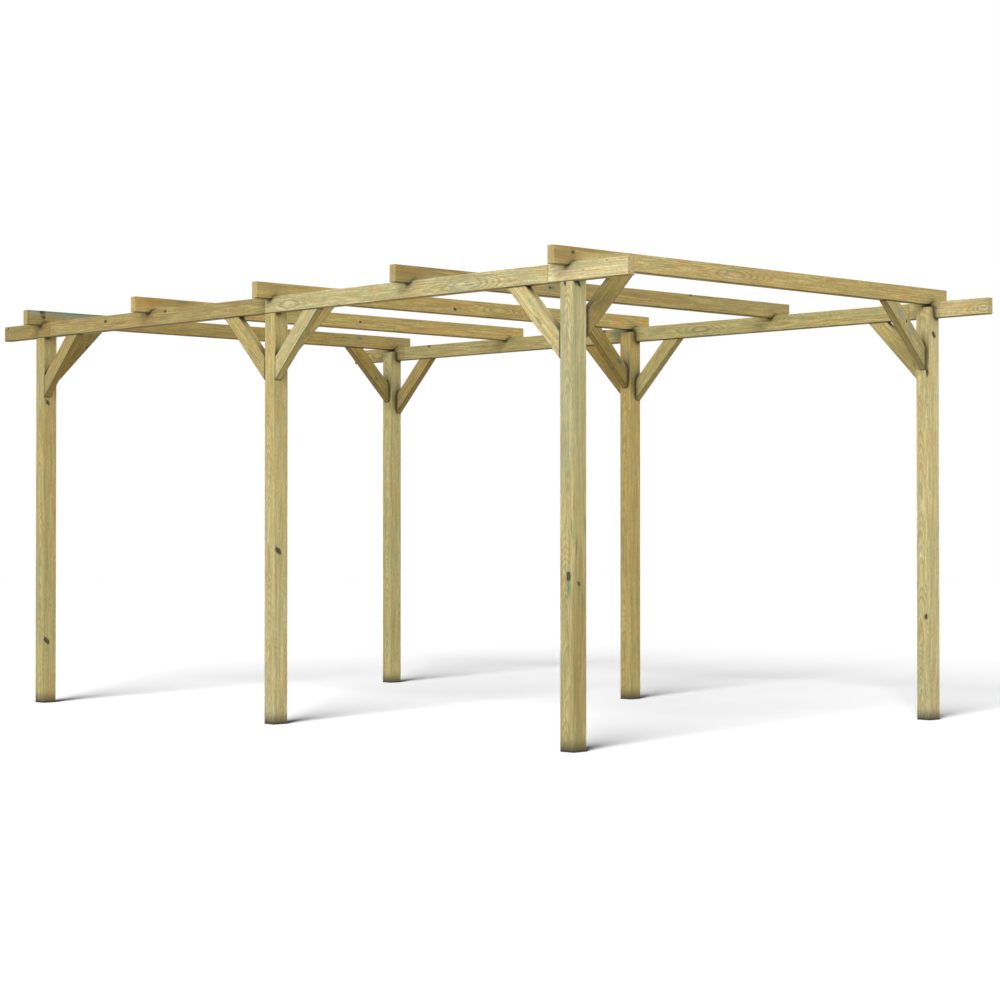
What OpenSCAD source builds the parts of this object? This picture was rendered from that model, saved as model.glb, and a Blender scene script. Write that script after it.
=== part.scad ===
// Free-standing wooden garden pergola in planed softwood.
// Six square posts in two rows of three carry two long beams.
// Five rafters cross the beams, and fourteen knee braces stiffen the corners.
//
// Millimetres, +Z up. X runs along the beams, Y along the rafters.
// The origin is on the ground under the middle of the frame.
// "Front" is -Y, "back" is +Y, "left" is -X and "right" is +X.
//
// How it goes together:
//  - every post top is rebated on its outer side: the beam sits on the
//    shoulder, its outer face level with the post, and the tongue left on
//    the inner side rises behind the beam, to just short of the rafter
//  - each beam is two lengths that meet end to end over the middle post
//  - the rafters are notched over both beams
//  - braces are cut at 45 degrees: plumb against the post, level under the
//    beam or the rafter

/* [Overall] */
// Centre to centre of neighbouring posts along a beam
post_pitch = 2265; // [1500:5:3000]
// Width over the outer faces of the two rows of posts
row_width = 2890; // [1800:10:4200]
// Height of the shoulders, which is the underside of the beams
shoulder_height = 2225; // [1800:5:2800]

/* [Posts] */
// Side of the square post
post = 90; // [70:5:140]

/* [Beams] */
// Height of a beam on edge
beam_height = 90; // [70:5:200]
// Thickness of a beam, which is also the depth of the post's shoulder
beam_thick = 45; // [35:1:60]
// Length of beam past the outer face of an end post
beam_overhang = 355; // [0:5:500]

/* [Rafters] */
// Height of a rafter on edge
rafter_height = 90; // [70:5:200]
// Thickness of a rafter
rafter_thick = 45; // [35:1:60]
// Length of rafter past the outer face of a beam
rafter_overhang = 105; // [50:5:400]
// Depth of the notch that drops a rafter over a beam
notch_depth = 15; // [5:1:30]

/* [Braces] */
// Distance from the inside corner to the far tip of a brace
brace_leg = 365; // [250:5:600]
// Width of a brace, measured square to its length
brace_width = 90; // [70:5:140]
// Thickness of a brace
brace_thick = 45; // [35:1:60]

/* [Fits] */
// Side play of a beam in a rafter's notch, both sides together
notch_play = 0.4; // [0:0.1:2]
// Gap between the two lengths of a beam over the middle post
butt_gap = 0.2; // [0:0.1:2]
// Gap between the tongue of a post and the rafter above it
tongue_gap = 15; // [0:1:30]
// Flat on each long edge of a planed timber
arris = 3; // [1:0.5:6]

/* [Hidden] */
// Long enough to pass right through whatever it cuts
past = 20;
// Outer face of a row of posts, and the inner face of the same posts
outer = row_width / 2;
inner = outer - post;
// Heights of the rafters' underside and of the tops of the posts
rafter_under = shoulder_height + beam_height - notch_depth;
post_top = rafter_under - tongue_gap;
rafter_length = row_width + 2 * rafter_overhang;
// Half of the whole beam, from the middle post to the beam's end
beam_reach = post_pitch + post / 2 + beam_overhang;

// ---------------------------------------------------------------- timber

// Section of planed timber, w across and h up, with eased corners.
module section(w, h) {
    a = arris;
    polygon([
        [a, 0], [w - a, 0], [w, a], [w, h - a],
        [w - a, h], [a, h], [0, h - a], [0, a]
    ]);
}

// Board along +X: l long, w across in Y and h up in Z.
module board_x(l, w, h) {
    rotate([90, 0, 90])
        linear_extrude(height = l)
            section(w, h);
}

// Board along +Y: l long, w across in X and h up in Z.
module board_y(l, w, h) {
    translate([0, l, 0])
        rotate([90, 0, 0])
            linear_extrude(height = l)
                section(w, h);
}

// Turns a front piece into the matching back piece.
module to_back() {
    mirror([0, 1, 0])
        children();
}

// ----------------------------------------------------------------- posts

// One front post centred on x = 0, rebated for the beam at its top.
module front_post() {
    difference() {
        translate([-post / 2, -outer, 0])
            linear_extrude(height = post_top)
                section(post, post);
        translate([-post / 2 - past, -outer - past, shoulder_height])
            cube([post + 2 * past, beam_thick + past, beam_height + past]);
    }
}

module post_front_left() {
    color("#C9BE8B")
        translate([-post_pitch, 0, 0])
            front_post();
}

module post_front_middle() {
    color("#C9BE8B")
        front_post();
}

module post_front_right() {
    color("#C9BE8B")
        translate([post_pitch, 0, 0])
            front_post();
}

module post_back_left() {
    color("#C9BE8B")
        to_back()
            translate([-post_pitch, 0, 0])
                front_post();
}

module post_back_middle() {
    color("#C9BE8B")
        to_back()
            front_post();
}

module post_back_right() {
    color("#C9BE8B")
        to_back()
            translate([post_pitch, 0, 0])
                front_post();
}

// ----------------------------------------------------------------- beams

// Right-hand length of the front beam, from the middle post outwards.
module front_beam() {
    translate([butt_gap / 2, -outer, shoulder_height])
        board_x(beam_reach - butt_gap / 2, beam_thick, beam_height);
}

module beam_front_right() {
    color("#DCD09A")
        front_beam();
}

module beam_front_left() {
    color("#DCD09A")
        mirror([1, 0, 0])
            front_beam();
}

module beam_back_right() {
    color("#DCD09A")
        to_back()
            front_beam();
}

module beam_back_left() {
    color("#DCD09A")
        to_back()
            mirror([1, 0, 0])
                front_beam();
}

// --------------------------------------------------------------- rafters

// Notch over the front beam, open below and at both sides of the rafter.
module front_notch() {
    translate([
        -rafter_thick / 2 - past,
        -outer - notch_play / 2,
        rafter_under - past
    ])
        cube([
            rafter_thick + 2 * past,
            beam_thick + notch_play,
            notch_depth + past
        ]);
}

// One rafter centred on x = 0.
module rafter() {
    difference() {
        translate([-rafter_thick / 2, -rafter_length / 2, rafter_under])
            board_y(rafter_length, rafter_thick, rafter_height);
        front_notch();
        to_back()
            front_notch();
    }
}

// Rafters stand over the posts and halfway between them.
module rafter_at(step) {
    color("#BFAE6E")
        translate([step * post_pitch / 2, 0, 0])
            rafter();
}

module rafter_1() {
    rafter_at(-2);
}

module rafter_2() {
    rafter_at(-1);
}

module rafter_3() {
    rafter_at(0);
}

module rafter_4() {
    rafter_at(1);
}

module rafter_5() {
    rafter_at(2);
}

// ---------------------------------------------------------------- braces

// Brace in the X-Z plane for an inside corner at the origin. The post's
// face is at x = 0, the timber above is at z = 0, and the brace fills
// y = 0 to brace_thick on the -X, -Z side of the corner.
module corner_brace() {
    intersection() {
        translate([-brace_leg - past, -past, -brace_leg - past])
            cube([brace_leg + past, brace_thick + 2 * past, brace_leg + past]);
        rotate([0, 45, 0])
            translate([-brace_leg, 0, -brace_leg / sqrt(2)])
                board_x(2 * brace_leg, brace_thick, brace_width);
    }
}

// Brace on the left side of the front post at x, in line with the beam.
module brace_left_of(x) {
    color("#B9AB70")
        translate([x - post / 2, -outer, shoulder_height])
            corner_brace();
}

// Brace on the right side of the front post at x.
module brace_right_of(x) {
    mirror([1, 0, 0])
        brace_left_of(-x);
}

// Brace from the inner face of the front post at x up to its rafter.
module brace_inside(x) {
    color("#B9AB70")
        translate([x - brace_thick / 2, -inner, rafter_under])
            rotate([0, 0, -90])
                corner_brace();
}

module brace_front_1() {
    brace_right_of(-post_pitch);
}

module brace_front_2() {
    brace_left_of(0);
}

module brace_front_3() {
    brace_right_of(0);
}

module brace_front_4() {
    brace_left_of(post_pitch);
}

module brace_back_1() {
    to_back()
        brace_right_of(-post_pitch);
}

module brace_back_2() {
    to_back()
        brace_left_of(0);
}

module brace_back_3() {
    to_back()
        brace_right_of(0);
}

module brace_back_4() {
    to_back()
        brace_left_of(post_pitch);
}

module cross_brace_front_left() {
    brace_inside(-post_pitch);
}

module cross_brace_front_middle() {
    brace_inside(0);
}

module cross_brace_front_right() {
    brace_inside(post_pitch);
}

module cross_brace_back_left() {
    to_back()
        brace_inside(-post_pitch);
}

module cross_brace_back_middle() {
    to_back()
        brace_inside(0);
}

module cross_brace_back_right() {
    to_back()
        brace_inside(post_pitch);
}

// -------------------------------------------------------------- assembly

post_front_left();
post_front_middle();
post_front_right();
post_back_left();
post_back_middle();
post_back_right();
beam_front_left();
beam_front_right();
beam_back_left();
beam_back_right();
rafter_1();
rafter_2();
rafter_3();
rafter_4();
rafter_5();
brace_front_1();
brace_front_2();
brace_front_3();
brace_front_4();
brace_back_1();
brace_back_2();
brace_back_3();
brace_back_4();
cross_brace_front_left();
cross_brace_front_middle();
cross_brace_front_right();
cross_brace_back_left();
cross_brace_back_middle();
cross_brace_back_right();
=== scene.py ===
# %% [markdown]
# # A garden pergola in pressure-treated softwood
# Six square posts carry two long beams, five rafters are notched over the beams, and fourteen
# short braces stiffen the corners. The construction model already holds every timber at its
# true size, so this lesson only dresses it: softened edges, and one wood finish that is cut
# differently for each board.
#
# Everything is in metres in the construction model's own frame: +X runs along the beams to the
# right, +Y to the back, +Z up, with the floor at zero.

import math
import random
from types import SimpleNamespace

import bmesh
import bpy
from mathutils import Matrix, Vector


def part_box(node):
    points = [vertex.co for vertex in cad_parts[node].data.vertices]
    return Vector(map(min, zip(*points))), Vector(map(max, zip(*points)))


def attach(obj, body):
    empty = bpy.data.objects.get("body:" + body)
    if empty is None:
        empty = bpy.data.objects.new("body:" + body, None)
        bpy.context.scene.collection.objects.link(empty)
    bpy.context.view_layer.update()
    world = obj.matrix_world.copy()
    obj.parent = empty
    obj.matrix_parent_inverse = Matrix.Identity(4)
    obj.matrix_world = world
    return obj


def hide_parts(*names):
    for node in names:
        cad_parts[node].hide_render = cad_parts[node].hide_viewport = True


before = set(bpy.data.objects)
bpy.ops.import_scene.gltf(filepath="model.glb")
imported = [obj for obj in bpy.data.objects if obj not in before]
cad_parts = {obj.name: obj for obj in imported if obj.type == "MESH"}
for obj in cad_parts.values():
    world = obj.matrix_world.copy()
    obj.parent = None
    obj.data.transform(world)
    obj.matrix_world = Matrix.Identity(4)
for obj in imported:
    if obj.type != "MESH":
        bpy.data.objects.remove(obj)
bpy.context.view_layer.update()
MM = 0.001
print("timbers:", len(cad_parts))

# %% [markdown]
# ## The view
# The pergola is seen from the height of a person sitting down, off its front right corner. A
# longish lens keeps the posts nearly parallel. A camera could be aimed with a constraint, but
# plain numbers for where it stands and which way it faces are easier to read and to change.

# %% Place the camera
SENSOR_WIDTH = 36.0
LENS = 85.548
FARTHEST_VIEW = 200.0
CAMERA_PLACE = Vector((10.177, -9.413, 1.0377))
CAMERA_TURN = (90.779, 0.0, 46.402)

camera_data = bpy.data.cameras.new("view_camera")
camera_data.sensor_width = SENSOR_WIDTH
camera_data.lens = LENS
camera_data.clip_end = FARTHEST_VIEW
camera = bpy.data.objects.new("view_camera", camera_data)
camera.location = CAMERA_PLACE
camera.rotation_euler = [math.radians(angle) for angle in CAMERA_TURN]
bpy.context.scene.collection.objects.link(camera)
bpy.context.scene.camera = camera
nearest_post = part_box("post_front_right")[1]
print("camera to the nearest post:", round((CAMERA_PLACE.xy - nearest_post.xy).length, 2), "m")

# %% [markdown]
# ## Colours and nodes
# Colours are easiest to choose as the hex values that a paint program shows, but the renderer
# works with linear light, so one function turns the one into the other. A second small function
# adds a shader node, sets it up, links it and hands back one of its outputs, which keeps the
# long wood recipe below readable.

# %% Two helpers for every material
def linear(hex_colour):
    """The linear RGBA colour of an sRGB hex value such as #C8BC8E."""
    channels = [int(hex_colour[place : place + 2], 16) / 255 for place in (1, 3, 5)]
    light = [c / 12.92 if c <= 0.04045 else ((c + 0.055) / 1.055) ** 2.4 for c in channels]
    return (*light, 1.0)


def add_node(tree, kind, inputs=(), output=0, **settings):
    """Add a shader node with its settings and its input values or links, and return one output."""
    node = tree.nodes.new("ShaderNode" + kind)
    for name, value in settings.items():
        setattr(node, name, value)
    for socket, value in dict(inputs).items():
        if isinstance(value, bpy.types.NodeSocket):
            tree.links.new(value, node.inputs[socket])
        else:
            node.inputs[socket].default_value = value
    return node.outputs[output]


def new_material(name):
    """A material with an empty node tree and its output node."""
    material = bpy.data.materials.new(name)
    material.use_nodes = True
    material.node_tree.nodes.clear()
    return material, material.node_tree, material.node_tree.nodes.new("ShaderNodeOutputMaterial")


print("middle grey in linear light:", round(linear("#808080")[0], 3))

# %% [markdown]
# ## The studio
# The object stands in a white studio, lit mostly by its bright walls, which reach every side of
# the timbers, and a little by one large soft lamp high at the front. The lamp is a sun with a
# wide angle, because a sun lights a structure this long evenly. The room looks pure white to
# the camera and in reflections, and its light is set so that the wood's colours come out about
# as they are written.

# %% Light the room
LAMP_AIM = Vector((0.4, -0.77, 0.5))
WOOD_LAMP = 1.1
WOOD_LAMP_SPREAD = 20.0
WALL_LIGHT = 2.3
CEILING_LIGHT = 0.85
WALL_TOP = 0.5


def add_lamp(name, strength, spread, lit):
    """A sun along LAMP_AIM, so many degrees wide, that lights only the objects in one collection."""
    data = bpy.data.lights.new(name, "SUN")
    data.energy = strength
    data.angle = math.radians(spread)
    lamp = bpy.data.objects.new(name, data)
    lamp.rotation_euler = LAMP_AIM.to_track_quat("Z", "Y").to_euler()
    lamp.light_linking.receiver_collection = lit
    bpy.context.scene.collection.objects.link(lamp)


def seen_directly(tree):
    """1 for light that shows a surface to the camera, straight or by way of a reflection."""
    paths = add_node(tree, "LightPath").node.outputs
    seen = add_node(tree, "Math", {0: paths["Is Camera Ray"], 1: paths["Is Glossy Ray"]})
    return add_node(tree, "Math", {0: seen, 1: paths["Is Transmission Ray"]}, use_clamp=True)


wood_pieces = bpy.data.collections.new("wood_pieces")
add_lamp("wood_lamp", WOOD_LAMP, WOOD_LAMP_SPREAD, wood_pieces)

room = bpy.data.worlds.new("white_room")
room.use_nodes = True
room_tree = room.node_tree
room_tree.nodes.clear()
look = add_node(room_tree, "TexCoord", output="Generated")
look_up = add_node(room_tree, "SeparateXYZ", {0: look}, output="Z")
levels = {"Value": look_up, "From Max": WALL_TOP, "To Min": WALL_LIGHT, "To Max": CEILING_LIGHT}
level = add_node(room_tree, "MapRange", levels, interpolation_type="SMOOTHSTEP")
fill = add_node(room_tree, "Background", {"Color": linear("#FFFFFF"), "Strength": level})
white = add_node(room_tree, "Background", {"Color": linear("#FFFFFF"), "Strength": 1.0})
seen_room = add_node(room_tree, "MixShader", {0: seen_directly(room_tree), 1: fill, 2: white})
room_tree.links.new(seen_room, room_tree.nodes.new("ShaderNodeOutputWorld").inputs["Surface"])
bpy.context.scene.world = room
bpy.context.scene.view_settings.view_transform = "Standard"
print("lamp height above the horizon:", round(math.degrees(math.asin(LAMP_AIM.normalized().z)), 1), "degrees")

# %% [markdown]
# ## The floor
# The floor is a sheet of studio paper. Its shadow should be as deep as one lamp in a dark room
# would make it, while the wood should be lit evenly from all sides, and one lamp can't do both.
# So the floor has a lamp of its own, through light linking, and the timbers shade it but aren't
# lit by it. To the camera the lit paper is exactly white. For light that bounces off it onto the
# wood it is nearly black and a little warm, which keeps the undersides of the timbers deep brown.

# %% Lay the floor
FLOOR_SIZE = 60.0
FLOOR_LAMP = 90.0
FLOOR_LAMP_SPREAD = 27.0
PAPER = (0.0675, 0.0675, 0.0675, 1.0)
PAPER_TO_WOOD = (0.018, 0.0125, 0.003, 1.0)

floor_paper, floor_tree, floor_output = new_material("white_studio_paper")
seen_paper = add_node(floor_tree, "BsdfDiffuse", {"Color": PAPER})
dull_paper = add_node(floor_tree, "BsdfDiffuse", {"Color": PAPER_TO_WOOD})
paper = add_node(floor_tree, "MixShader", {0: seen_directly(floor_tree), 1: dull_paper, 2: seen_paper})
floor_tree.links.new(paper, floor_output.inputs["Surface"])

floor_mesh = bpy.data.meshes.new("studio_floor")
floor_shape = bmesh.new()
bmesh.ops.create_grid(floor_shape, x_segments=1, y_segments=1, size=FLOOR_SIZE / 2)
floor_shape.to_mesh(floor_mesh)
floor_shape.free()
floor_mesh.materials.append(floor_paper)
floor = bpy.data.objects.new("studio_floor", floor_mesh)
bpy.context.scene.collection.objects.link(floor)

floor_only = bpy.data.collections.new("floor_only")
floor_only.objects.link(floor)
add_lamp("floor_lamp", FLOOR_LAMP, FLOOR_LAMP_SPREAD, floor_only)
print("floor:", FLOOR_SIZE, "m square")

# %% [markdown]
# ## Where each board comes from
# A sawn board is a stick cut out of a log, and everything seen on it follows from that: the
# lines on its faces are the log's growth rings, cut open. So each board needs to know which way
# its grain runs and where its middle is. The grain runs along a post, a beam or a rafter, and
# along the slope of a brace. All patterns are worked out in the board's own space, with the
# grain along Z, so one recipe serves boards that lie, stand or lean. A Mapping node could get
# typed-in angles for that, but here it gets them from the timber's name, so none can be wrong.

# %% Read the grain direction from a timber's name
BRACE_WIDTH = 90 * MM


def grain_direction(name):
    """The unit vector along a timber's grain, pointing up or to the right or back."""
    family, *words = name.split("_")
    if family == "post":
        return Vector((0, 0, 1))
    if family == "beam":
        return Vector((1, 0, 0))
    if family == "rafter":
        return Vector((0, 1, 0))
    if family == "cross":
        inward = 1 if "front" in words else -1
        return Vector((0, inward, 1)).normalized()
    rises_right = 1 if int(words[-1]) % 2 == 1 else -1
    return Vector((rises_right, 0, 1)).normalized()


def board_turn(name):
    """The turn that lays Z along the grain, with Y across the board's broad side."""
    return grain_direction(name).to_track_quat("Z", "Y")


def board_middle(name):
    """The middle of a board. A brace's box is larger than the brace, so it is set in from there."""
    low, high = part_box(name)
    middle = (low + high) / 2
    if "brace" in name:
        middle += board_turn(name) @ Vector((0, BRACE_WIDTH / 2, 0))
    return middle


def into_board_space(name, point):
    """A point given in millimetres of the whole frame, in metres of the board's own space."""
    return board_turn(name).inverted() @ (Vector(point) * MM - board_middle(name))


def start_board(name):
    """An empty wood material, and the coordinates that its recipe starts from."""
    material, tree, output = new_material("treated_pine_" + name)
    board = SimpleNamespace(name=name, tree=tree, output=output)
    board.spot = add_node(tree, "TexCoord", output="Object")
    inputs = {"Vector": board.spot, "Location": board_middle(name), "Rotation": board_turn(name).to_euler()}
    board.place = add_node(tree, "Mapping", inputs, vector_type="TEXTURE")
    board.x, board.y, board.z = add_node(tree, "SeparateXYZ", {0: board.place}).node.outputs
    return material, board


print("grain of brace_front_2:", tuple(round(value, 2) for value in grain_direction("brace_front_2")))

# %% [markdown]
# ## Small steps of the recipe
# Three steps come back all through the wood recipe, so each gets a short name: noise that is
# stretched along the grain and sized in millimetres, a soft lump at one point, and a stain that
# is laid over a colour where some value passes from one level to another. Most of a noise lies
# between 0.3 and 0.7, so those are the levels at which its stains begin and end. Each noise is
# also shifted by a number of its own, so that no two draw their spots in the same places.
# Painted masks could do all this too, but they would have to be painted again for every board.

# %% Noise, lumps and stains
SOFT = {"interpolation_type": "SMOOTHSTEP"}


def speckle(tree, place, size, detail=2.0, output="Fac", shift=0.0):
    """Soft noise whose grains are so many millimetres wide, and so many long along the board."""
    wide, long = size
    stretch = (1 / (wide * MM), 1 / (wide * MM), 1 / (long * MM))
    inputs = {0: place, 1: stretch, 2: (shift, shift, shift)}
    sized = add_node(tree, "VectorMath", inputs, operation="MULTIPLY_ADD")
    return add_node(tree, "TexNoise", {"Vector": sized, "Scale": 1.0, "Detail": detail}, output)


def lump(tree, place, centre, wide, long):
    """1 at one point of the board, fading to 0 over so many millimetres across and along the grain."""
    offset = add_node(tree, "VectorMath", {0: place, 1: centre}, operation="SUBTRACT")
    shrink = (1 / (wide * MM), 1 / (wide * MM), 1 / (long * MM))
    sized = add_node(tree, "VectorMath", {0: offset, 1: shrink}, operation="MULTIPLY")
    far = add_node(tree, "VectorMath", {0: sized, 1: sized}, "Value", operation="DOT_PRODUCT")
    falling = add_node(tree, "Math", {0: far, 1: -1.0}, operation="MULTIPLY")
    return add_node(tree, "Math", {0: falling}, operation="EXPONENT")


def stain(tree, colour, tint, value, start, end, strength=1.0, within=None):
    """Lay a tint over a colour as a value passes from start to end, up to a strength.

    The end may lie below the start. A second value, within, weakens the stain where it is low.
    """
    levels = {"Value": value, "From Min": start, "From Max": end, "To Max": strength}
    amount = add_node(tree, "MapRange", levels, **SOFT)
    if within is not None:
        amount = add_node(tree, "Math", {0: amount, 1: within}, operation="MULTIPLY")
    inputs = {"Factor": amount, 6: colour, 7: linear(tint)}
    return add_node(tree, "Mix", inputs, output=2, data_type="RGBA")


print("one millimetre is", MM, "of the frame's units")

# %% [markdown]
# ## Growth rings and knots
# Rings could be painted as stripes, but then the faces and the ends of a board never agree.
# Here the rings are worked out in space, from the distance to a slightly wandering pith, so that
# an edge shows straight lines and an end shows arcs, all by themselves. Counting by the square
# of the distance makes rings wide near the pith and tight towards the bark, as a tree grows
# them. A log also tapers, so a straight cut runs out through its rings, and that draws pointed
# flames on a face. A knot is the root of a branch: a thin cone that leaves the pith and rises
# outward, with the rings swelling around it.

# %% Count the rings, and find a branch
RING_AREA = 560 * MM * MM
PITH_WANDER = 50 * MM
PITH_BENDS = (300, 620)
BRANCH_RISE = 0.8
BRANCH_STRETCH = 0.62
THINNEST_BRANCH = 0.5 * MM
WIDEST_BRANCH = 1.1


def ring_count(board, pith, straight):
    """How many rings out from the pith a point is. The pith wanders a few centimetres."""
    tree = board.tree
    wide, long = PITH_BENDS
    bends = speckle(tree, board.pattern, (wide, long * straight), output="Color")
    sway = (PITH_WANDER, PITH_WANDER, 0.0)
    centre = (-PITH_WANDER / 2 - pith[0] * MM, -PITH_WANDER / 2 - pith[1] * MM, 0.0)
    bent = add_node(tree, "VectorMath", {0: bends, 1: sway, 2: centre}, operation="MULTIPLY_ADD")
    log = add_node(tree, "VectorMath", {0: board.pattern, 1: bent}, operation="ADD")
    flat = add_node(tree, "VectorMath", {0: log, 1: (1, 1, 0)}, operation="MULTIPLY")
    square = add_node(tree, "VectorMath", {0: flat, 1: flat}, "Value", operation="DOT_PRODUCT")
    return add_node(tree, "Math", {0: square, 1: RING_AREA}, operation="DIVIDE")


def branch(board, pith, tip, radius):
    """How far a point is from the branch behind a knot, in branch radii."""
    tree = board.tree
    root = Vector((pith[0] * MM, pith[1] * MM, 0))
    root.z = tip.z - BRANCH_RISE * math.hypot(tip.x - root.x, tip.y - root.y)
    length = (tip - root).length
    way = (tip - root).normalized()
    offset = add_node(tree, "VectorMath", {0: board.place, 1: root}, operation="SUBTRACT")
    outward = add_node(tree, "VectorMath", {0: offset, 1: way}, "Value", operation="DOT_PRODUCT")
    centre = add_node(tree, "VectorMath", {0: way, "Scale": outward}, operation="SCALE")
    side = add_node(tree, "VectorMath", {0: offset, 1: centre}, operation="SUBTRACT")
    oval = add_node(tree, "VectorMath", {0: side, 1: (1, 1, BRANCH_STRETCH)}, operation="MULTIPLY")
    gap = add_node(tree, "VectorMath", {0: oval}, "Value", operation="LENGTH")
    cone = add_node(tree, "Math", {0: outward, 1: radius * MM / length}, operation="MULTIPLY")
    cone = add_node(tree, "Math", {0: cone, 1: THINNEST_BRANCH}, operation="MAXIMUM")
    cone = add_node(tree, "Math", {0: cone, 1: WIDEST_BRANCH * radius * MM}, operation="MINIMUM")
    return add_node(tree, "Math", {0: gap, 1: cone}, operation="DIVIDE")


for far in (30, 60, 90):
    print("rings within", far, "mm of the pith:", round((far * MM) ** 2 / RING_AREA, 1))

# %% [markdown]
# ## From log to board
# Long beams are glued up from shorter lengths, and each length comes from another part of a
# log, so its figure starts afresh at a line across the beam. A node picks, for every point, how
# far up the log to look. Cutting the mesh at each line would do it too, but a beam would then be
# several pieces. After that the rings are counted, pulled into closed loops where a branch is
# hidden just under the face, and pushed apart around each knot.

# %% Take the lengths from their logs
LOOP_WIDTH = 60
LOOP_PULL = 0.55
FAR_AWAY = 9.0

# Around a knot, in knot radii: how wide and long the rings swell, and where its salt runs to.
SWELL_SIZE = (2.2, 4.5)
SWELL_RINGS = 2.5
TAIL_SIZE = (0.9, 4)
TAIL_DROP = 5


def lay_lengths(board, lengths):
    """Give each glued-up length its own part of a log and its own colour."""
    tree = board.tree
    _, shift, tone = lengths[0]
    board.ground = add_node(tree, "RGB")
    board.ground.default_value = linear(tone)
    board.off_glue_line = FAR_AWAY
    for begin, log_shift, tone in lengths[1:]:
        beyond = add_node(tree, "Math", {0: board.z, 1: begin}, operation="GREATER_THAN")
        shift = add_node(tree, "Mix", {"Factor": beyond, 2: shift, 3: log_shift})
        board.ground = stain(tree, board.ground, tone, beyond, 0.0, 1.0)
        past = add_node(tree, "Math", {0: board.z, 1: begin}, operation="SUBTRACT")
        past = add_node(tree, "Math", {0: past}, operation="ABSOLUTE")
        nearer = {0: board.off_glue_line, 1: past}
        board.off_glue_line = add_node(tree, "Math", nearer, operation="MINIMUM")
    up_the_log = add_node(tree, "CombineXYZ", {"Z": shift})
    board.pattern = add_node(tree, "VectorMath", {0: board.place, 1: up_the_log}, operation="ADD")


def grow_rings(board, pith, knots, loops, straight, taper):
    """Count the rings through a board, and keep where its loops, knots and tails of salt are."""
    tree = board.tree
    upright = ring_count(board, pith, straight)
    rings = add_node(tree, "Math", {0: board.z, 1: taper, 2: upright}, operation="MULTIPLY_ADD")
    board.looped = 0.0
    for point, long in loops:
        eye = lump(tree, board.place, into_board_space(board.name, point), LOOP_WIDTH, long)
        pull = add_node(tree, "Math", {0: eye, 1: -LOOP_PULL, 2: 1.0}, operation="MULTIPLY_ADD")
        rings = add_node(tree, "Math", {0: rings, 1: pull}, operation="MULTIPLY")
        board.looped = add_node(tree, "Math", {0: board.looped, 1: eye}, operation="MAXIMUM")

    board.nearest_knot = FAR_AWAY
    board.salt_tail = 0.0
    for point, radius, salt in knots:
        tip = into_board_space(board.name, point)
        nearer = {0: board.nearest_knot, 1: branch(board, pith, tip, radius)}
        board.nearest_knot = add_node(tree, "Math", nearer, operation="MINIMUM")
        swell = lump(tree, board.place, tip, *(size * radius for size in SWELL_SIZE))
        rings = add_node(tree, "Math", {0: swell, 1: SWELL_RINGS, 2: rings}, operation="MULTIPLY_ADD")
        if salt:
            below = tip - Vector((0, 0, TAIL_DROP * radius * MM))
            drop = lump(tree, board.place, below, *(size * radius for size in TAIL_SIZE))
            drop = add_node(tree, "Math", {0: drop, 1: salt}, operation="MULTIPLY")
            board.salt_tail = add_node(tree, "Math", {0: board.salt_tail, 1: drop}, operation="MAXIMUM")
    board.rings = rings


print("the ring count dips by", LOOP_PULL, "of itself at a hidden branch,", LOOP_WIDTH, "mm wide")

# %% [markdown]
# ## Pressure-treated pine
# The timber is fast-grown pine, planed and then treated under pressure with a copper salt. That
# gives the eye pale straw yellow with a touch of green, soft ochre lines of summer wood, a few
# orange resin streaks, and fine grey-blue strokes where the salt has crystallised in the open
# grain. Planed pine is matt, a little smoother on the hard summer wood. An image of wood would
# repeat itself and stretch around the edges, so all of it is grown from noise in space. Real
# rings are 3 to 5 mm apart and fibres far finer; rings are drawn about twice as wide here, and
# fibres 6 mm, because finer ones would vanish at the distance from which the pergola is seen.

# %% The colours and grain sizes of treated pine
STRAW = "#B5A870"
STRAW_PALE = "#EFE2A8"
SUMMER_WOOD = "#86682A"
RESIN = "#BE7E2C"
WARM = "#B98A42"
COOL = "#84905F"
SALT_BLUE = "#7B9089"
SALT_GREEN = "#3F846A"
BLOT_GREEN = "#487060"
# The knot browns also paint shade: two dark knots just under a beam, and the shadows of two braces on their
# posts.
KNOT_BROWN_AND_SHADOW = "#5C4826"
KNOT_HEART_AND_SHADOW = "#241D10"
ARRIS = "#5F552B"
# The dirt colour also paints shade into the joints, along the lower edges, at the brace ends and at the post
# feet.
DIRT_AND_SHADE = "#2A2111"

# Width and length in millimetres of what each noise draws.
FIBRES = (6, 200)
RIPPLES = (18, 70)
FLECKS = (5, 17)
BANDS = (24, 900)
PATCHES = (34, 170)
RESIN_RUNS = (11, 150)
SALT_ZONES = (120, 380)
SALT_STROKES = (7, 30)
SALT_BLOTS = (22, 55)
YEAR_SCALE = 0.55
print("straw in linear light:", [round(part, 3) for part in linear(STRAW)[:3]])

# %% [markdown]
# A year's growth is pale spring wood that darkens slowly into summer wood and stops sharply. So
# the fraction of a ring count, which climbs from 0 to 1 and drops back, is already nearly the
# right profile. Years differ, so a one-dimensional noise along the count makes some of them
# strong and others faint, and two more noises make their lines waver.

# %% Draw the years
RIPPLE_RINGS = 0.8
FIBRE_RINGS = 0.9

# The part of a year in which its wood darkens, and the part in which it stops being dark.
DARKENS = (0.3, 0.75)
STOPS = (1.0, 0.8)
STRONG_YEARS = (0.2, 0.55)
SALTY_YEARS = (0.55, 0.4)


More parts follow.
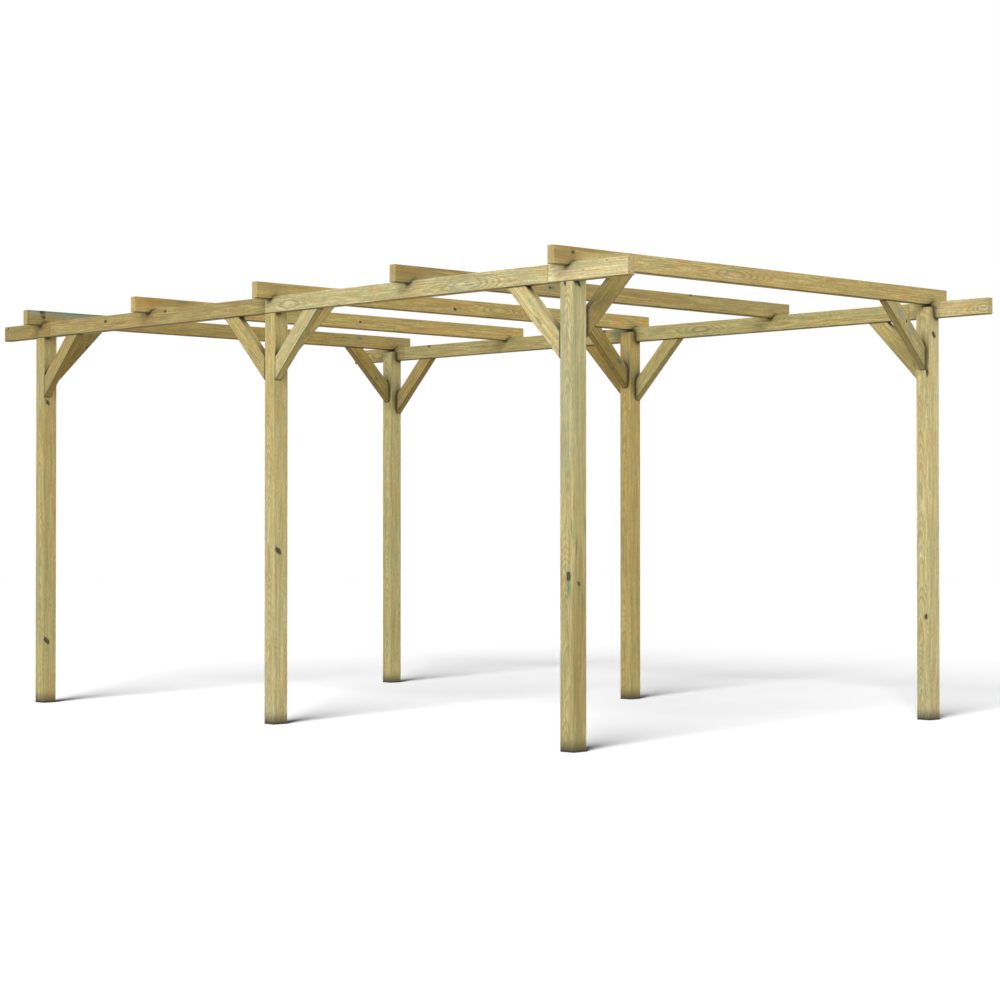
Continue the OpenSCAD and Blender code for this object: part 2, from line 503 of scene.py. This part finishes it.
def draw_years(board, straight):
    """Split the ring count into spring and summer wood, with fibres and flecks over them."""
    tree, pattern = board.tree, board.pattern
    board.fibre = speckle(tree, pattern, FIBRES, 3.0)
    board.fleck = speckle(tree, pattern, FLECKS, 1.0, shift=37)
    wide, long = RIPPLES
    ripple = speckle(tree, pattern, (wide, long * straight), shift=3)
    uneven = {0: ripple, 1: RIPPLE_RINGS, 2: board.rings}
    uneven = add_node(tree, "Math", uneven, operation="MULTIPLY_ADD")
    uneven = {0: board.fibre, 1: FIBRE_RINGS, 2: uneven}
    uneven = add_node(tree, "Math", uneven, operation="MULTIPLY_ADD")
    years = {"W": uneven, "Scale": YEAR_SCALE, "Detail": 1.0}
    board.year = add_node(tree, "TexNoise", years, "Fac", noise_dimensions="1D")
    board.growth = add_node(tree, "Math", {0: uneven}, operation="FRACT")
    darkening = add_node(tree, "MapRange", {0: board.growth, 1: DARKENS[0], 2: DARKENS[1]}, **SOFT)
    stopping = add_node(tree, "MapRange", {0: board.growth, 1: STOPS[0], 2: STOPS[1]}, **SOFT)
    strong = add_node(tree, "MapRange", {0: board.year, 1: STRONG_YEARS[0], 2: STRONG_YEARS[1]}, **SOFT)
    summer = add_node(tree, "Math", {0: darkening, 1: stopping}, operation="MULTIPLY")
    board.summer = add_node(tree, "Math", {0: summer, 1: strong}, operation="MULTIPLY")


print("strong and faint years take turns every", round(1 / YEAR_SCALE, 1), "rings or so")

# %% [markdown]
# Then the colours. Stains are laid one over another, from the finest to the broadest: pale and
# dark fibres, the flecks that a planer raises, long warm and greenish bands, shorter patches,
# narrow runs of resin, and last the summer wood, ochre in some years and grey-blue with salt in
# others. Each board's own shade then multiplies the lot, so that a dark board keeps its figure.

# %% Colour the grain
def grain_colour(board, wild, figure):
    """The colours of the grain, over plain straw."""
    tree, pattern = board.tree, board.pattern
    colour = linear(STRAW)
    colour = stain(tree, colour, STRAW_PALE, board.fibre, 0.48, 0.7, 0.42)
    colour = stain(tree, colour, STRAW_PALE, board.growth, 0.45, 0.1, 0.4 * figure)
    colour = stain(tree, colour, SUMMER_WOOD, board.fibre, 0.5, 0.3, 0.38)
    colour = stain(tree, colour, STRAW_PALE, board.fleck, 0.55, 0.72, 0.3)
    colour = stain(tree, colour, SUMMER_WOOD, board.fleck, 0.45, 0.28, 0.28)

    band = speckle(tree, pattern, BANDS, shift=29)
    colour = stain(tree, colour, WARM, band, 0.52, 0.68, 0.26)
    colour = stain(tree, colour, COOL, band, 0.46, 0.3, 0.34)
    patch = speckle(tree, pattern, [size / wild for size in PATCHES], 3.0, shift=7)
    colour = stain(tree, colour, WARM, patch, 0.52, 0.66, 0.22 * wild)
    colour = stain(tree, colour, COOL, patch, 0.48, 0.34, 0.24 * wild)
    board.streak = speckle(tree, pattern, RESIN_RUNS, shift=11)
    colour = stain(tree, colour, RESIN, board.streak, 0.54, 0.68, 0.32)

    late_wood = stain(tree, linear(SUMMER_WOOD), SALT_BLUE, board.year, *SALTY_YEARS, 0.8)
    strength = add_node(tree, "Math", {0: board.looped, 1: 0.6, 2: figure}, operation="MULTIPLY_ADD")
    amount = add_node(tree, "Math", {0: board.summer, 1: strength}, operation="MULTIPLY")
    return add_node(tree, "Mix", {"Factor": amount, 6: colour, 7: late_wood}, output=2, data_type="RGBA")


def shaded(board, colour, far_tone):
    """The same colours tinted by the board's own shade, which may drift along its length."""
    tree = board.tree
    low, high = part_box(board.name)
    half = (high - low).dot(Vector(abs(part) for part in grain_direction(board.name))) / 2
    ground = board.ground
    if far_tone:
        ground = stain(tree, ground, far_tone, board.z, -0.9 * half, 0.9 * half)
    over_straw = tuple(1 / part for part in linear(STRAW)[:3])
    shade = add_node(tree, "VectorMath", {0: ground, 1: over_straw}, operation="MULTIPLY")
    return add_node(tree, "VectorMath", {0: colour, 1: shade}, operation="MULTIPLY")


print("bands are", BANDS, "mm, patches", PATCHES, "mm and runs of resin", RESIN_RUNS, "mm")

# %% [markdown]
# Copper salt crystallises in the open grain as short blue-grey strokes, more in some zones than
# in others, and here and there as a green blot. Further marks are set at chosen points. A knot is
# dark wood in a darker ring of bark, with a greenish halo, and salt may have run down from it.
# The flecks roughen every outline, because a perfect oval would look printed.

# %% Add salt, marks and knots
def salted(board, colour, marks, wild):
    """Salt in the grain, and the marks at chosen points: point, radius, length, strength, colour."""
    tree, pattern = board.tree, board.pattern
    zone = speckle(tree, pattern, SALT_ZONES, 1.0, shift=17)
    zone = add_node(tree, "MapRange", {0: zone, 1: 0.42, 2: 0.6, 3: 0.1, 4: 0.5}, **SOFT)
    stroke = speckle(tree, pattern, SALT_STROKES, shift=19)
    colour = stain(tree, colour, SALT_BLUE, stroke, 0.54, 0.66, within=zone)
    blot = speckle(tree, pattern, SALT_BLOTS, shift=23)
    colour = stain(tree, colour, SALT_GREEN, blot, 0.68, 0.78, 0.5 * wild)
    for point, radius, long, strength, tint in marks:
        spread = lump(tree, board.place, into_board_space(board.name, point), radius, long)
        ragged = add_node(tree, "Math", {0: spread, 1: board.fleck}, operation="ADD")
        colour = stain(tree, colour, tint, ragged, 0.75, 1.35, strength)
    return colour


def knotted(board, colour):
    """The knots of a board. Distances are in radii of the branch behind each knot."""
    tree = board.tree
    rough = add_node(tree, "Math", {0: board.fleck, 1: 1.6, 2: -0.8}, operation="MULTIPLY_ADD")
    nearest = add_node(tree, "Math", {0: board.nearest_knot, 1: rough}, operation="ADD")
    colour = stain(tree, colour, COOL, nearest, 2.4, 1.0, 0.45)
    colour = stain(tree, colour, SALT_GREEN, board.streak, 0.3, 0.5, 0.9, within=board.salt_tail)
    colour = stain(tree, colour, KNOT_BROWN_AND_SHADOW, nearest, 1.45, 0.85)
    inside_bark = add_node(tree, "MapRange", {0: nearest, 1: 1.3, 2: 1.0}, **SOFT)
    colour = stain(tree, colour, KNOT_HEART_AND_SHADOW, nearest, 0.5, 0.8, 0.65, within=inside_bark)
    return stain(tree, colour, KNOT_HEART_AND_SHADOW, nearest, 0.55, 0.2, 0.65)


print("salt strokes are", SALT_STROKES, "mm, in zones of", SALT_ZONES, "mm")

# %% [markdown]
# ## Wear, weather and painted shade
# The sawn ends show their rings, and those of the beams have greyed. Long edges soak up more
# salt and dirt than the faces, and the lower edges get a line of painted shade. Shade in the
# joints is painted too: ambient occlusion finds the places that look onto another timber near
# by, a tight dark line at 26 mm and a wide faint shade at 110 mm. It is measured on the
# finished shape, so no joint has to be marked by hand.

# %% Weather the ends and edges, and paint shade into the joints
ARRIS_WIDTH = 7 * MM
HALF_WIDTH = 45 * MM
HALF_BOARD = 22.5 * MM
LOW_EDGE = (-39 * MM, -43 * MM)
UNDERSIDE = (-44.9 * MM, -44 * MM)
TIGHT_JOINT = 26 * MM
WIDE_JOINT = 110 * MM
GLUE_LINE = (2.4 * MM, 0.8 * MM)

# How far a face is turned to the board's ends, from 0 for a long side to 1 for a square cut.
SAWN = (0.5, 0.95)
FRESH = 0.25
GREYED = 0.35
BARELY_GREYED = 0.1


def with_sawn_ends(board, colour):
    """Rings and grey on the cut ends. A rafter's ends are fresh and pale, a beam's are greyed."""
    tree = board.tree
    looks = add_node(tree, "TexCoord", output="Normal")
    turn = {"Vector": looks, "Rotation": board_turn(board.name).to_euler()}
    looks = add_node(tree, "Mapping", turn, vector_type="TEXTURE")
    sawn = add_node(tree, "SeparateXYZ", {0: looks}, output="Z")
    sawn = add_node(tree, "Math", {0: sawn}, operation="ABSOLUTE")
    if board.name.startswith("rafter"):
        colour = stain(tree, colour, STRAW_PALE, sawn, *SAWN, FRESH)
    greyed = GREYED if board.name.startswith("beam") else BARELY_GREYED
    ringed = add_node(tree, "Math", {0: board.summer, 1: 0.3, 2: greyed}, operation="MULTIPLY_ADD")
    return stain(tree, colour, SUMMER_WOOD, sawn, *SAWN, within=ringed)


def with_worn_edges_and_low_shade(board, colour):
    """Darker long edges, and a line of painted shade along the lower edges of all but the posts."""
    tree = board.tree
    is_post = board.name.startswith("post")
    half_thick = HALF_WIDTH if is_post else HALF_BOARD
    off_x = add_node(tree, "Math", {0: board.x}, operation="ABSOLUTE")
    off_y = add_node(tree, "Math", {0: board.y}, operation="ABSOLUTE")
    near_x = add_node(tree, "MapRange", {0: off_x, 1: half_thick - ARRIS_WIDTH, 2: half_thick}, **SOFT)
    colour = stain(tree, colour, ARRIS, off_y, HALF_WIDTH - ARRIS_WIDTH, HALF_WIDTH, 0.15, within=near_x)
    if is_post:
        return colour
    # Along the lower edges, a line of painted shade.
    above_underside = {0: board.y, 1: UNDERSIDE[0], 2: UNDERSIDE[1]}
    above_underside = add_node(tree, "MapRange", above_underside, **SOFT)
    return stain(tree, colour, DIRT_AND_SHADE, board.y, *LOW_EDGE, 0.65, within=above_underside)


def with_joint_shade_and_glue_lines(board, colour, joint_shade):
    """Painted shade in the corners between timbers, and dark glue lines."""
    tree = board.tree
    # Ambient occlusion paints shade where a timber looks onto another near by.
    tight = add_node(tree, "AmbientOcclusion", {"Distance": TIGHT_JOINT}, "AO", samples=6)
    wide = add_node(tree, "AmbientOcclusion", {"Distance": WIDE_JOINT}, "AO", samples=6)
    colour = stain(tree, colour, DIRT_AND_SHADE, wide, 0.92, 0.4, 0.85)
    colour = stain(tree, colour, DIRT_AND_SHADE, tight, 0.95, 0.5, joint_shade)
    return stain(tree, colour, DIRT_AND_SHADE, board.off_glue_line, *GLUE_LINE, 0.55)


print("joints darken within", TIGHT_JOINT, "m, and more faintly within", WIDE_JOINT, "m")

# %% [markdown]
# The cut ends of a brace get a dark line of painted shade where they meet a post, a beam or a
# rafter, wider at the front rafter braces, where it paints the post's shadow. The foot of a post
# is darker towards the ground, with painted contact shade at the bottom. All of these lie at a
# height or a distance that is known from the timber's box, so they need no marks of their own.

# %% Darken the brace ends and the post feet
# How far the painted shade reaches from a brace's cut end, and from the post at the front rafter braces.
END_SHADE = (8 * MM, 1 * MM)
POST_SHADOW = (52 * MM, 28 * MM)
FOOT_BAND = 75 * MM
FOOT_WAVES = 50 * MM
GROUND_SHADE = (20 * MM, 2 * MM)


def with_shaded_brace_ends(board, colour):
    """Painted shade at both cut ends of a brace. At the front rafter braces it reaches further, as the post's
    painted shadow.
    """
    tree = board.tree
    low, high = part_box(board.name)
    grain = grain_direction(board.name)
    axis = 0 if abs(grain.x) > 0.1 else 1
    post_face = low[axis] if grain[axis] > 0 else high[axis]
    spots = add_node(tree, "SeparateXYZ", {0: board.spot}).node.outputs
    off_post = add_node(tree, "Math", {0: spots[axis], 1: post_face}, operation="SUBTRACT")
    off_post = add_node(tree, "Math", {0: off_post}, operation="ABSOLUTE")
    off_top = add_node(tree, "Math", {0: high.z, 1: spots["Z"]}, operation="SUBTRACT")
    # At the front rafter braces the post's shadow is painted on the brace as well.
    if board.name.startswith("cross_brace_front"):
        colour = stain(tree, colour, DIRT_AND_SHADE, off_post, *POST_SHADOW, 0.8)
        return stain(tree, colour, DIRT_AND_SHADE, off_top, *END_SHADE, 0.8)
    off_end = add_node(tree, "Math", {0: off_post, 1: off_top}, operation="MINIMUM")
    return stain(tree, colour, DIRT_AND_SHADE, off_end, *END_SHADE, 0.8)


def with_dark_foot(board, colour):
    """A darker band near the ground that follows the fibres, and a rim of painted contact shade at the
    ground.
    """
    tree = board.tree
    height = add_node(tree, "SeparateXYZ", {0: board.spot}, output="Z")
    wavy_height = add_node(tree, "Math", {0: height, 1: FOOT_WAVES / 2}, operation="ADD")
    wavy_height = add_node(tree, "Math", {0: board.fibre, 1: -FOOT_WAVES, 2: wavy_height}, operation="MULTIPLY_ADD")
    darkened = add_node(tree, "MapRange", {0: wavy_height, 1: FOOT_BAND, 2: 0.0, 4: 0.45}, **SOFT)
    # The rim is painted contact shade where the post stands on the floor.
    ground_shade = add_node(tree, "MapRange", {0: height, 1: GROUND_SHADE[0], 2: GROUND_SHADE[1], 4: 0.9}, **SOFT)
    amount = add_node(tree, "Math", {0: darkened, 1: ground_shade}, operation="MAXIMUM")
    inputs = {"Factor": amount, 6: colour, 7: linear(DIRT_AND_SHADE)}
    return add_node(tree, "Mix", inputs, output=2, data_type="RGBA")


print("brace ends are damp for", END_SHADE[0], "m, and at the front braces' feet for", POST_SHADOW[0], "m")

# %% [markdown]
# ## The whole finish
# Now the steps run one after another. Hard summer wood stands a little proud of the spring wood
# and is smoother, so it drives the roughness and, with the fibres, a bump of under a millimetre.
# Real relief in the mesh would take millions of faces and show no better at this distance.

# %% Put the wood finish together
ROUGHNESS = 0.74
POLISH = -0.12
RELIEF = 0.8 * MM
RELIEF_STRENGTH = 0.6
PINE_IOR = 1.5


def treated_pine(name, lengths, far_tone, pith, knots, marks, loops, cut):
    """Planed, copper-treated pine for one board.

    lengths: where each glued-up length starts, its part of a log, and its colour.
    far_tone: the colour that a single length drifts to at its high end, or None.
    pith: where the pith is, in millimetres from the board's middle.
    knots, marks, loops: what is set at chosen points, as in the tables below.
    cut: how the board's family is sawn, as in CUTS below.
    """
    material, board = start_board(name)
    tree = board.tree
    lay_lengths(board, lengths)
    grow_rings(board, pith, knots, loops, cut["straight"], cut["taper"])
    draw_years(board, cut["straight"])
    colour = grain_colour(board, cut["wild"], cut["figure"])
    colour = shaded(board, colour, far_tone)
    colour = salted(board, colour, marks, cut["wild"])
    if knots:
        colour = knotted(board, colour)
    colour = with_sawn_ends(board, colour)
    colour = with_worn_edges_and_low_shade(board, colour)
    colour = with_joint_shade_and_glue_lines(board, colour, cut["joint_shade"])
    if "brace" in name:
        colour = with_shaded_brace_ends(board, colour)
    if name.startswith("post"):
        colour = with_dark_foot(board, colour)

    rough = add_node(tree, "Math", {0: board.summer, 1: POLISH, 2: ROUGHNESS}, operation="MULTIPLY_ADD")
    proud = add_node(tree, "Math", {0: board.summer, 1: 0.6}, operation="MULTIPLY")
    relief = add_node(tree, "Math", {0: board.fibre, 1: 0.5, 2: proud}, operation="MULTIPLY_ADD")
    heights = {"Height": relief, "Distance": RELIEF, "Strength": RELIEF_STRENGTH}
    bump = add_node(tree, "Bump", heights, "Normal")
    surface = {"Base Color": colour, "Roughness": rough, "Normal": bump, "IOR": PINE_IOR}
    wood = add_node(tree, "BsdfPrincipled", surface)
    tree.links.new(wood, board.output.inputs["Surface"])
    return material


print("roughness of summer and spring wood:", round(ROUGHNESS + POLISH, 2), ROUGHNESS)

# %% [markdown]
# ## Softened edges
# The construction model has the machined bevel along every timber, but its cut ends are still
# razor sharp. A real saw leaves a slightly furred edge about a millimetre wide, and that is
# what catches the light. Each timber is a copy of its construction solid: the triangles are
# merged into whole faces, and then every edge gets a fine rounding. A Bevel modifier would give
# the same, but an applied bevel leaves nothing to chance.

# %% Copy a timber and ease its edges
EASE = 0.8 * MM
SAME_POINT = 0.05 * MM
SAME_FACE = math.radians(1)
SHARP = math.radians(20)


def eased_timber(name):
    """A new mesh object in a CAD timber's place, with finely rounded edges."""
    shape = bmesh.new()
    shape.from_mesh(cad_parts[name].data)
    bmesh.ops.remove_doubles(shape, verts=shape.verts, dist=SAME_POINT)
    bmesh.ops.dissolve_limit(shape, angle_limit=SAME_FACE, verts=shape.verts, edges=shape.edges)
    edges = [edge for edge in shape.edges if edge.calc_face_angle(0) > SHARP]
    bmesh.ops.bevel(
        shape, geom=edges, offset=EASE, segments=2, profile=0.5, affect="EDGES", material=-1,
        clamp_overlap=True,
    )
    mesh = bpy.data.meshes.new(name + "_timber")
    shape.to_mesh(mesh)
    shape.free()
    piece = bpy.data.objects.new(name + "_timber", mesh)
    bpy.context.scene.collection.objects.link(piece)
    wood_pieces.objects.link(piece)
    return piece


print("edges are rounded by", EASE, "m")

# %% [markdown]
# ## The boards
# A pack of timber is never all one shade, so every board gets one of a few shades, and a post or
# a rafter may drift to another at its far end. Beams have theirs further down.

# %% Shade the boards
SHADES = {
    "ivory": "#CFC693",
    "cream": "#C9BF86",
    "straw": "#BFB781",
    "corn": "#BBAC6C",
    "hay": "#B2A96E",
    "ochre": "#B2A261",
    "sand": "#B09D59",
    "sage": "#A89D64",
    "tan": "#A19154",
    "olive": "#9B8946",
    "umber": "#958340",
    "smoke": "#7D6C24",
}
BOARD_SHADES = {
    "post_front_left": ("hay", "ochre"),
    "post_front_middle": ("straw", "corn"),
    "post_front_right": ("hay", "straw"),
    "post_back_left": ("hay", "hay"),
    "post_back_middle": ("ochre", "sand"),
    "post_back_right": ("straw", "cream"),
    "rafter_1": ("olive", "olive"),
    "rafter_2": ("sand", "sand"),
    "rafter_3": ("sand", "sand"),
    "rafter_4": ("tan", "tan"),
    "rafter_5": ("corn", "sand"),
    "brace_front_1": ("tan",),
    "brace_front_2": ("ochre",),
    "brace_front_3": ("straw",),
    "brace_front_4": ("cream",),
    "brace_back_1": ("tan",),
    "brace_back_2": ("umber",),
    "brace_back_3": ("hay",),
    "brace_back_4": ("corn",),
    "cross_brace_front_left": ("smoke",),
    "cross_brace_front_middle": ("sand",),
    "cross_brace_front_right": ("umber",),
    "cross_brace_back_left": ("umber",),
    "cross_brace_back_middle": ("umber",),
    "cross_brace_back_right": ("sage",),
}
print("shades:", len(SHADES), "boards with shades of their own:", len(BOARD_SHADES))

# %% [markdown]
# Chance would spread knots evenly, but a carpenter sees to it that the best faces show, so they
# are listed one by one, each at a point in millimetres of the whole frame. A knot also has a radius
# and the strength of the salt that ran from it; two dark knots just under a beam are painted shade.
# A mark is any other stain: a green or blue blot of salt, or a patch of brown wood, and two marks
# are painted shadows of a brace on its post. Each mark has a radius, a length, a strength and a
# colour. A loop is where the rings close around a hidden branch, and has a length.

# %% Place the knots
KNOTS = {
    "post_front_left": [((-2220, -1420, 375), 9, 0.5), ((-2220, -1417, 1827), 7, 0)],
    "post_front_middle": [((45, -1419, 937), 9, 0.4), ((-45, -1388, 1320), 7, 0)],
    "post_front_right": [
        ((2278, -1445, 827), 11, 1.0),
        ((2310, -1407, 794), 5, 0.8),
        # These two dark knots just under the beam are painted shade where the beam meets the post.
        ((2255, -1445, 2216), 6, 0),
        ((2310, -1407, 2212), 6, 0),
        ((2220, -1420, 1460), 9, 0.5),
    ],
    "post_back_left": [((-2310, 1385, 640), 8, 0)],
    "post_back_middle": [((-45, 1390, 1130), 8, 0), ((-45, 1372, 1600), 6, 0.5)],
    "post_back_right": [((2310, 1398, 2131), 9, 0), ((2283, 1355, 570), 8, 0.3)],
    "rafter_1": [((-2242, -1446, 2384), 10, 0), ((-2242, -1436, 2350), 7, 0)],
    "rafter_2": [((-1110, 133, 2345), 6, 0)],
    "rafter_3": [((23, -105, 2333), 6, 0)],
    "rafter_4": [((1155, 677, 2387), 6, 0), ((1155, -452, 2348), 5, 0)],
    "rafter_5": [((2288, -1424, 2363), 6, 0)],
    "beam_front_left": [
        ((-2625, -1445, 2302), 5, 0),
        ((-968, -1445, 2300), 6, 0),
        ((-1564, -1445, 2281), 8, 0),
    ],
    "beam_front_right": [((2374, -1445, 2270), 2, 0), ((2530, -1445, 2304), 2, 0)],
    "beam_back_left": [((-227, 1400, 2304), 8, 0), ((-1881, 1400, 2308), 7, 0)],
    "cross_brace_front_left": [((-2243, -1125, 2183), 5, 0)],
    "cross_brace_back_right": [((2288, 1178, 2194), 4, 0)],
}
print("knots:", sum(len(found) for found in KNOTS.values()))

# %% [markdown]
# Most marks lie on the faces that catch the eye first: the front right post, the front ends of
# the rafters, and the braces. Random ones are in the finish already, but a few strong ones in
# chosen places are what makes one board different from the next.

# %% Place the marks and loops
MARKS = {
    "post_front_right": [
        ((2310, -1424, 970), 7, 60, 0.6, BLOT_GREEN),
        ((2310, -1384, 700), 5, 90, 0.6, BLOT_GREEN),
        ((2310, -1364, 1070), 5, 60, 0.6, BLOT_GREEN),
        ((2298, -1445, 1056), 5, 50, 0.5, BLOT_GREEN),
        ((2310, -1431, 300), 8, 150, 0.4, BLOT_GREEN),
        ((2325, -1400, 1750), 55, 600, 0.2, BLOT_GREEN),
        ((2325, -1400, 500), 55, 800, 0.4, SUMMER_WOOD),
        ((2255, -1455, 1700), 45, 600, 0.25, SALT_BLUE),
    ],
    # On the two back corner posts, a dark mark paints the shadow that the cross brace casts on the post's
    # front face.
    "post_back_right": [((2296, 1355, 1924), 12, 30, 0.95, KNOT_HEART_AND_SHADOW)],
    "post_back_left": [((-2236, 1355, 1915), 8, 45, 0.7, KNOT_BROWN_AND_SHADOW)],
    "beam_front_left": [
        ((-306, -1445, 2294), 20, 60, 0.4, SUMMER_WOOD),
        ((-1988, -1445, 2304), 16, 60, 0.4, SUMMER_WOOD),
    ],
    "beam_back_left": [((-110, 1400, 2285), 34, 60, 0.6, BLOT_GREEN)],
    "rafter_1": [
        ((-2242, -1510, 2372), 26, 50, 0.5, SALT_BLUE),
        ((-2242, -1240, 2370), 26, 330, 0.5, SALT_BLUE),
        ((-2242, -1240, 2390), 18, 330, 0.6, BLOT_GREEN),
        ((-2242, -1440, 2362), 26, 22, 0.8, KNOT_BROWN_AND_SHADOW),
        ((-2242, 1085, 2366), 14, 30, 0.7, BLOT_GREEN),
        ((-2265, -1550, 2345), 60, 20, 0.6, SUMMER_WOOD),
    ],
    "rafter_2": [
        ((-1110, -1470, 2360), 40, 130, 0.3, RESIN),
        ((-1110, -1300, 2368), 32, 280, 0.45, SUMMER_WOOD),
        ((-1110, -1212, 2374), 10, 60, 0.6, BLOT_GREEN),
    ],
    "rafter_3": [
        ((23, -722, 2350), 12, 30, 0.9, BLOT_GREEN),
        ((23, -1460, 2374), 22, 130, 0.4, SUMMER_WOOD),
    ],
    "rafter_4": [
        ((1155, -444, 2349), 12, 38, 0.8, BLOT_GREEN),
        ((1155, -1480, 2358), 55, 180, 0.45, SUMMER_WOOD),
        ((1155, -1240, 2388), 14, 200, 0.6, SUMMER_WOOD),
    ],
    "rafter_5": [
        ((2288, -1500, 2350), 60, 150, 0.6, SUMMER_WOOD),
        ((2288, -1300, 2384), 18, 220, 0.6, SUMMER_WOOD),
    ],
    "cross_brace_front_middle": [((23, -1194, 2123), 8, 14, 0.8, BLOT_GREEN)],
    "cross_brace_front_right": [((2288, -1133, 2173), 7, 12, 0.9, BLOT_GREEN)],
    "cross_brace_back_left": [
        ((-2243, 1240, 2096), 15, 22, 1.0, BLOT_GREEN),
        ((-2265, 1241, 2049), 11, 18, 1.0, BLOT_GREEN),
    ],
    "cross_brace_back_middle": [
        ((3, 1237, 2053), 13, 20, 1.0, BLOT_GREEN),
        ((23, 1280, 2097), 16, 24, 1.0, BLOT_GREEN),
    ],
    "cross_brace_back_right": [
        ((2288, 1130, 2230), 24, 60, 0.5, SALT_BLUE),
        ((2288, 1215, 2150), 20, 50, 0.45, SALT_BLUE),
    ],
    "brace_front_3": [((150, -1445, 1940), 9, 20, 0.5, BLOT_GREEN)],
    "brace_front_4": [((2080, -1445, 2050), 10, 30, 0.5, BLOT_GREEN)],
}

LOOPS = {
    "beam_front_right": [((1594, -1445, 2270), 200), ((174, -1445, 2275), 120)],
    "beam_back_right": [((581, 1400, 2270), 160), ((2640, 1400, 2270), 90)],
    "beam_back_left": [((-2420, 1400, 2270), 120)],
    "rafter_5": [((2288, -250, 2345), 190)],
    "rafter_3": [((23, 260, 2345), 170)],
}
print("marks:", sum(len(found) for found in MARKS.values()))
print("loops:", sum(len(found) for found in LOOPS.values()))

# %% [markdown]
# A beam is glued up from shorter lengths, which is why its figure changes at a line across it.
# The lengths are listed along each row of posts, so a length can carry on past the joint where
# the beam's two halves meet. Each is given the height in the log that it comes from.

# %% Cut the boards to length
LENGTHS = {
    "beam_front": [(-3000, "umber"), (-2158, "tan"), (-45, "straw"), (2140, "ivory")],
    "beam_back": [(-3000, "tan"), (-2140, "sage"), (0, "hay"), (2140, "cream")],
}
FIRST_LOG = {"beam_front": 40.0, "beam_back": 120.0}
NEXT_LOG = 16.0
BOARD_LOG = 5.0
NEXT_BOARD = 3.7
PLAIN_SHADES = ("hay",)


def lengths_of(name, order):
    """Each glued-up length of a board: where it begins, its part of a log, and its colour."""
    row = name.rsplit("_", 1)[0]
    if row not in LENGTHS:
        shade = BOARD_SHADES.get(name, PLAIN_SHADES)[0]
        return [(-FAR_AWAY, BOARD_LOG + NEXT_BOARD * order, SHADES[shade])]
    middle = board_middle(name).x
    low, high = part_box(name)
    log = FIRST_LOG[row]
    ends = [begin * MM for begin, _ in LENGTHS[row]][1:] + [FAR_AWAY]
    found = []
    for (begin, shade), end in zip(LENGTHS[row], ends):
        log += NEXT_LOG
        if end > low.x and begin * MM < high.x:
            found.append((begin * MM - middle, log + middle, SHADES[shade]))
    return found


print("lengths in the front beam's right half:", len(lengths_of("beam_front_right", 0)))

# %% [markdown]
# Every board is cut to one side of the pith. A post's pith lies just behind it, so its front and
# back show pointed flames, and its sides show straight lines. The families of boards also differ
# in how they were sawn: how many rings a metre of length runs out through (taper), how straight
# those rings run, how mottled or wild the wood is, how strongly its figure shows, and how much
# painted shade their joints get. They are numbers to be tried out.

# %% Saw the families
CUTS = {
    "post": {"taper": 13.0, "straight": 1.0, "wild": 1.0, "figure": 0.42, "joint_shade": 0.9},
    "beam": {"taper": 2.0, "straight": 2.5, "wild": 1.2, "figure": 0.32, "joint_shade": 0.8},
    "rafter": {"taper": 2.0, "straight": 3.0, "wild": 1.3, "figure": 0.26, "joint_shade": 0.6},
    "brace": {"taper": 5.0, "straight": 1.0, "wild": 1.7, "figure": 0.25, "joint_shade": 0.4},
    "cross": {"taper": 5.0, "straight": 1.0, "wild": 2.2, "figure": 0.25, "joint_shade": 0.4},
}
POST_PITH_ACROSS = (-16, 4)
POST_PITH_BEHIND = 58
BOARD_PITH_ACROSS = (-14, 14)
BOARD_PITH_ASIDE = 40
chance = random.Random(4)


def pith_of(name, family):
    """The pith, in millimetres from the board's middle, in the board's own space."""
    if family == "post":
        behind = Vector((chance.uniform(*POST_PITH_ACROSS), POST_PITH_BEHIND, 0))
        return (board_turn(name).inverted() @ behind).xy
    side = -1 if name.startswith("cross_brace_back") else 1
    return (side * BOARD_PITH_ASIDE, chance.uniform(*BOARD_PITH_ACROSS))


print("families:", list(CUTS))

# %% [markdown]
# ## Finish every timber
# One loop makes each timber, gives it its finish and puts it in the place of its construction
# solid. Nothing moves, so all of them ride on the one body.

timbers = {}
for order, name in enumerate(sorted(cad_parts)):
    family = name.split("_")[0]
    piece = eased_timber(name)
    shades = BOARD_SHADES.get(name, PLAIN_SHADES)
    finish = treated_pine(
        name,
        lengths_of(name, order),
        SHADES[shades[1]] if len(shades) > 1 else None,
        pith_of(name, family),
        knots=KNOTS.get(name, ()),
        marks=MARKS.get(name, ()),
        loops=LOOPS.get(name, ()),
        cut=CUTS[family],
    )
    piece.data.materials.clear()
    piece.data.materials.append(finish)
    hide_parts(name)
    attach(piece, "root")
    timbers[name] = piece
print("timbers finished:", len(timbers), "faces:", sum(len(p.data.polygons) for p in timbers.values()))
